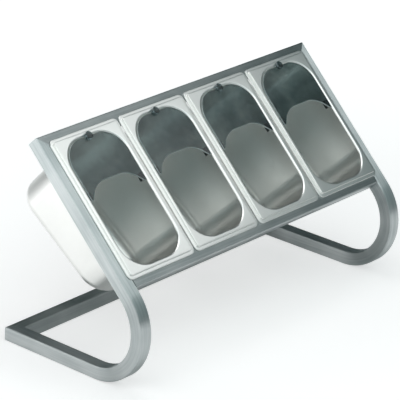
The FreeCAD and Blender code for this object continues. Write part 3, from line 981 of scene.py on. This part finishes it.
def reach_from_stand(tree):
    """How far a spot of the floor lies outside the stand's own rectangle, in metres."""
    spot = object_place(tree)
    steps = (("ABSOLUTE", None), ("SUBTRACT", (-LEFT, REAR, 0)), ("MAXIMUM", (0, 0, 0)))
    for operation, value in steps:
        step = add_node(tree, "VectorMath", {"operation": operation})
        tree.links.new(spot, step.inputs[0])
        if value:
            step.inputs[1].default_value = value
        spot = step.outputs["Vector"]
    reach = add_node(tree, "VectorMath", {"operation": "LENGTH"})
    tree.links.new(spot, reach.inputs[0])
    return reach.outputs["Value"]


def grow(tree, value, distance, near, far):
    """A value that grows from near to far over a distance."""
    spread = add_node(tree, "MapRange", From_Max=distance, To_Min=near, To_Max=far)
    tree.links.new(value, spread.inputs["Value"])
    return spread.outputs[0]


def floor_paint():
    """Matt pale paint, lifted to white where the camera, clear plastic or bright metal sees it; metal sees
    less of it under the stand, a painted shadow.
    """
    material = bpy.data.materials.new("pale floor")
    material.use_nodes = True
    tree = material.node_tree
    tree.nodes.clear()
    matt = add_node(tree, "BsdfDiffuse", Color=(FLOOR_COLOUR, FLOOR_COLOUR, FLOOR_COLOUR, 1))
    ray = add_node(tree, "LightPath").outputs
    glow = add_node(tree, "Emission", Color=WHITE)
    reach = reach_from_stand(tree)
    # Painted shadow: under the stand the steel sees only a little of the lift.
    metal = grow(tree, reach, SHADE_REACH, METAL_UNDER_PAINTED_SHADOW, METAL_AROUND)
    seen = math_node(tree, "MULTIPLY", ray["Is Glossy Ray"], metal)
    seen = math_node(tree, "MAXIMUM", seen, ray["Is Camera Ray"])
    seen = math_node(tree, "MAXIMUM", seen, ray["Is Transmission Ray"])
    lift = math_node(tree, "MULTIPLY", seen, grow(tree, reach, LIFT_REACH, LIFT_NEAR, LIFT_FAR))
    tree.links.new(lift, glow.inputs["Strength"])
    both = add_node(tree, "AddShader")
    tree.links.new(matt.outputs[0], both.inputs[0])
    tree.links.new(glow.outputs[0], both.inputs[1])
    output = add_node(tree, "OutputMaterial")
    tree.links.new(both.outputs[0], output.inputs["Surface"])
    return material


floor = build_floor()
finish_piece(floor, floor_paint())
print("floor", 2 * FLOOR_RADIUS, "m across")

# %% [markdown]
# ## The studio around it
# Bright steel only looks like steel when it has something dark to reflect, so the studio is dark cloth with
# a few soft pale patches. The camera, and clear plastic, see it as plain white.

# %% World
DARK_CLOTH = (0.002, 0.022, 0.024)
PALE_CLOTH = (0.85, 1.0, 1.0)
PATCH_EDGE = 0.55
PALE_PATCHES = (
    # toward, strength
    ((0, -0.7, 0.7), 0.58),
    ((-0.62, -0.55, 0.56), 0.2),
    ((0.75, -0.65, 0.1), 0.08),
)


def pale_patch(tree, direction, toward, strength):
    """A soft round patch of the world that is brightest toward one side."""
    facing = add_node(tree, "VectorMath", {"operation": "DOT_PRODUCT"})
    tree.links.new(direction, facing.inputs[0])
    facing.inputs[1].default_value = Vector(toward).normalized()
    edge = add_node(
        tree, "MapRange", {"interpolation_type": "SMOOTHSTEP"},
        From_Min=PATCH_EDGE, From_Max=1.0, To_Max=strength,
    )
    tree.links.new(facing.outputs["Value"], edge.inputs["Value"])
    return edge.outputs[0]


def build_world():
    world = bpy.data.worlds.new("studio")
    bpy.context.scene.world = world
    world.use_nodes = True
    tree = world.node_tree
    tree.nodes.clear()
    direction = add_node(tree, "TexCoord").outputs["Generated"]
    pale = 0.0
    for toward, strength in PALE_PATCHES:
        pale = math_node(tree, "ADD", pale, pale_patch(tree, direction, toward, strength))
    mixed = add_node(tree, "Mix", {"data_type": "RGBA"})
    tree.links.new(pale, mixed.inputs["Factor"])
    mixed.inputs["A"].default_value = (*DARK_CLOTH, 1)
    mixed.inputs["B"].default_value = (*PALE_CLOTH, 1)
    surround = add_node(tree, "Background")
    tree.links.new(mixed.outputs["Result"], surround.inputs["Color"])
    backdrop = add_node(tree, "Background", Color=WHITE)
    ray = add_node(tree, "LightPath").outputs
    seen = math_node(tree, "MAXIMUM", ray["Is Camera Ray"], ray["Is Transmission Ray"])
    choose = add_node(tree, "MixShader")
    tree.links.new(seen, choose.inputs["Fac"])
    tree.links.new(surround.outputs[0], choose.inputs[1])
    tree.links.new(backdrop.outputs[0], choose.inputs[2])
    output = add_node(tree, "OutputWorld")
    tree.links.new(choose.outputs[0], output.inputs["Surface"])


build_world()
print("studio with", len(PALE_PATCHES), "pale patches")

# %% [markdown]
# ## Lamps
# All lamps are soft. Two softboxes on the right are mirrored in the flats of the panel and of the pans'
# raised plates. They stand near, so their reflection fades from one pan to the next. The card lights the
# left side, the left and front softboxes catch the rounded edges and the bends, and the one overhead gives
# the soft shadow.

# %% Lamps
LAMPS = (
    # name, place, what it faces, width, height, power in watts
    ("panel softbox", (0.73, -0.66, 1.2), (0, 0, 0.3), 0.6, 0.6, 0.6),
    ("plate softbox", (0.55, -0.41, 1.06), (-0.25, 0, 0.3), 0.6, 0.6, 0.37),
    ("side card", (-1.3, 0.5, 0.5), (0, 0, 0.2), 1.4, 1.0, 7.0),
    ("left softbox", (-0.92, -0.55, 1.04), (0, -0.05, 0.3), 1.0, 0.8, 2.0),
    ("front softbox", (0, -0.7, 1.3), (0, 0, 0.2), 1.2, 0.6, 1.5),
    ("overhead softbox", (0.1, 0.1, 1.7), (0, 0, 0), 0.9, 0.9, 6),
)


def softbox(name, stands_at, faces, width, height, power):
    """A rectangular soft lamp that faces a point."""
    light = bpy.data.lights.new(name, "AREA")
    light.shape = "RECTANGLE"
    light.size, light.size_y = width, height
    light.energy = power
    lamp = bpy.data.objects.new(name, light)
    lamp.location = stands_at
    toward = Vector(faces) - Vector(stands_at)
    lamp.rotation_mode = "QUATERNION"
    lamp.rotation_quaternion = toward.to_track_quat("-Z", "Y")
    lamp.visible_camera = False
    bpy.context.scene.collection.objects.link(lamp)


for row in LAMPS:
    softbox(*row)
print(len(LAMPS), "lamps")

# %% [markdown]
# ## Colour
# The plain view shows each colour as it is lit.

# %% Colour
bpy.context.scene.view_settings.view_transform = "Standard"
